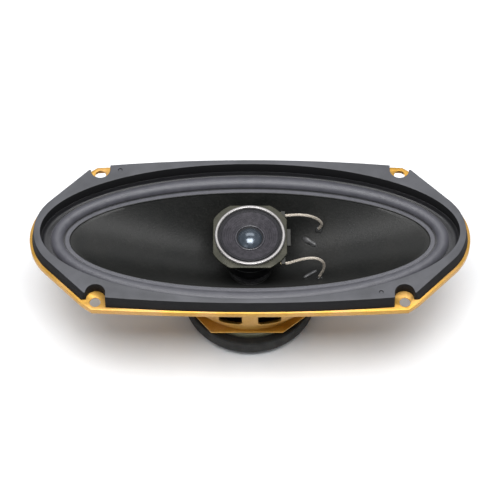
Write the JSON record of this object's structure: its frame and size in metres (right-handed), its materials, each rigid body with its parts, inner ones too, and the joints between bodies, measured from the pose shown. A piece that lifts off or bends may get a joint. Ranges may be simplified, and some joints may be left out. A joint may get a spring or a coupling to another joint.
{
  "type": "coaxial car speaker",
  "caption": "Oval coaxial car speaker: stamped steel basket, half-roll surround, paper cone and a centre-post cone tweeter, with ferrite magnet.",
  "frame": {"origin": "centre of the four screw holes, at the mounting flange's front face", "axes": "+Z out of the cone towards the listener, +X along the long side of the oval"},
  "size_m": [0.262, 0.1056, 0.08],
  "materials": {
    "zinc_steel": "yellow zinc passivated, satin",
    "gasket_foam": "matte moulded black",
    "surround_cloth": "satin, treated cloth",
    "cone_paper": "matte, dyed pulp",
    "glue": "satin",
    "coil_form": "satin",
    "copper_wire": "lacquered",
    "felt": "matte",
    "spider_cloth": "matte, phenolic-treated",
    "fibre_ring": "matte",
    "plated_steel": "dull olive plating",
    "rivet_steel": "satin",
    "ferrite": "dull, coated",
    "black_steel": "black coated, satin",
    "post_steel": "black, satin",
    "housing_plastic": "matte",
    "ring_metal": "satin, bright",
    "tweeter_paper": "satin, doped",
    "dome_film": "glossy",
    "board_fibre": "phenolic board",
    "tab_brass": "tinned",
    "tinsel_braid": "braided tinsel wire"
  },
  "bodies": {
    "frame": {"basket": "zinc_steel", "mounting_gasket": "gasket_foam", "surround": "surround_cloth", "spider": "spider_cloth", "spider_spacer_ring": "fibre_ring", "top_plate": "plated_steel", "tweeter_frame": "plated_steel", "tweeter_yoke": "plated_steel", "tweeter_top_plate": "plated_steel", "seat_rivet_1": "rivet_steel", "seat_rivet_2": "rivet_steel", "seat_rivet_3": "rivet_steel", "seat_rivet_4": "rivet_steel", "terminal_rivet_1": "rivet_steel", "terminal_rivet_2": "rivet_steel", "post_screw": "rivet_steel", "post_washer": "rivet_steel", "magnet": "ferrite", "tweeter_magnet": "ferrite", "back_plate": "black_steel", "tweeter_post": "post_steel", "tweeter_housing": "housing_plastic", "tweeter_trim_ring": "ring_metal", "tweeter_surround": "tweeter_paper", "tweeter_terminal_strip": "board_fibre", "terminal_board": "board_fibre", "tweeter_lug_rear": "tab_brass", "tweeter_lug_front": "tab_brass", "terminal_tab_positive": "tab_brass", "terminal_tab_negative": "tab_brass", "tweeter_lead_rear": "tinsel_braid", "tweeter_lead_front": "tinsel_braid", "woofer_lead_rear": "tinsel_braid", "woofer_lead_front": "tinsel_braid"},
    "cone_assembly": {"cone": "cone_paper", "glue_bead_rear": "glue", "glue_bead_front": "glue", "voice_coil_former": "coil_form", "voice_coil_winding": "copper_wire", "dust_felt_ring": "felt"},
    "tweeter_diaphragm": {"tweeter_cone": "tweeter_paper", "tweeter_dome": "dome_film", "tweeter_coil": "coil_form"}
  },
  "joints": [
    {"name": "cone_excursion", "type": "slide", "parent": "frame", "child": "cone_assembly", "axis": [0, 0, 1], "range_m": [-0.004, 0.004], "stiffness_N_per_m": 3000, "deforming": ["surround", "spider", "tweeter_lead_rear", "tweeter_lead_front", "woofer_lead_rear", "woofer_lead_front"]},
    {"name": "tweeter_excursion", "type": "slide", "parent": "frame", "child": "tweeter_diaphragm", "axis": [0, 0, 1], "range_m": [-0.0004, 0.0004], "stiffness_N_per_m": 2000, "deforming": ["tweeter_surround"]}
  ]
}
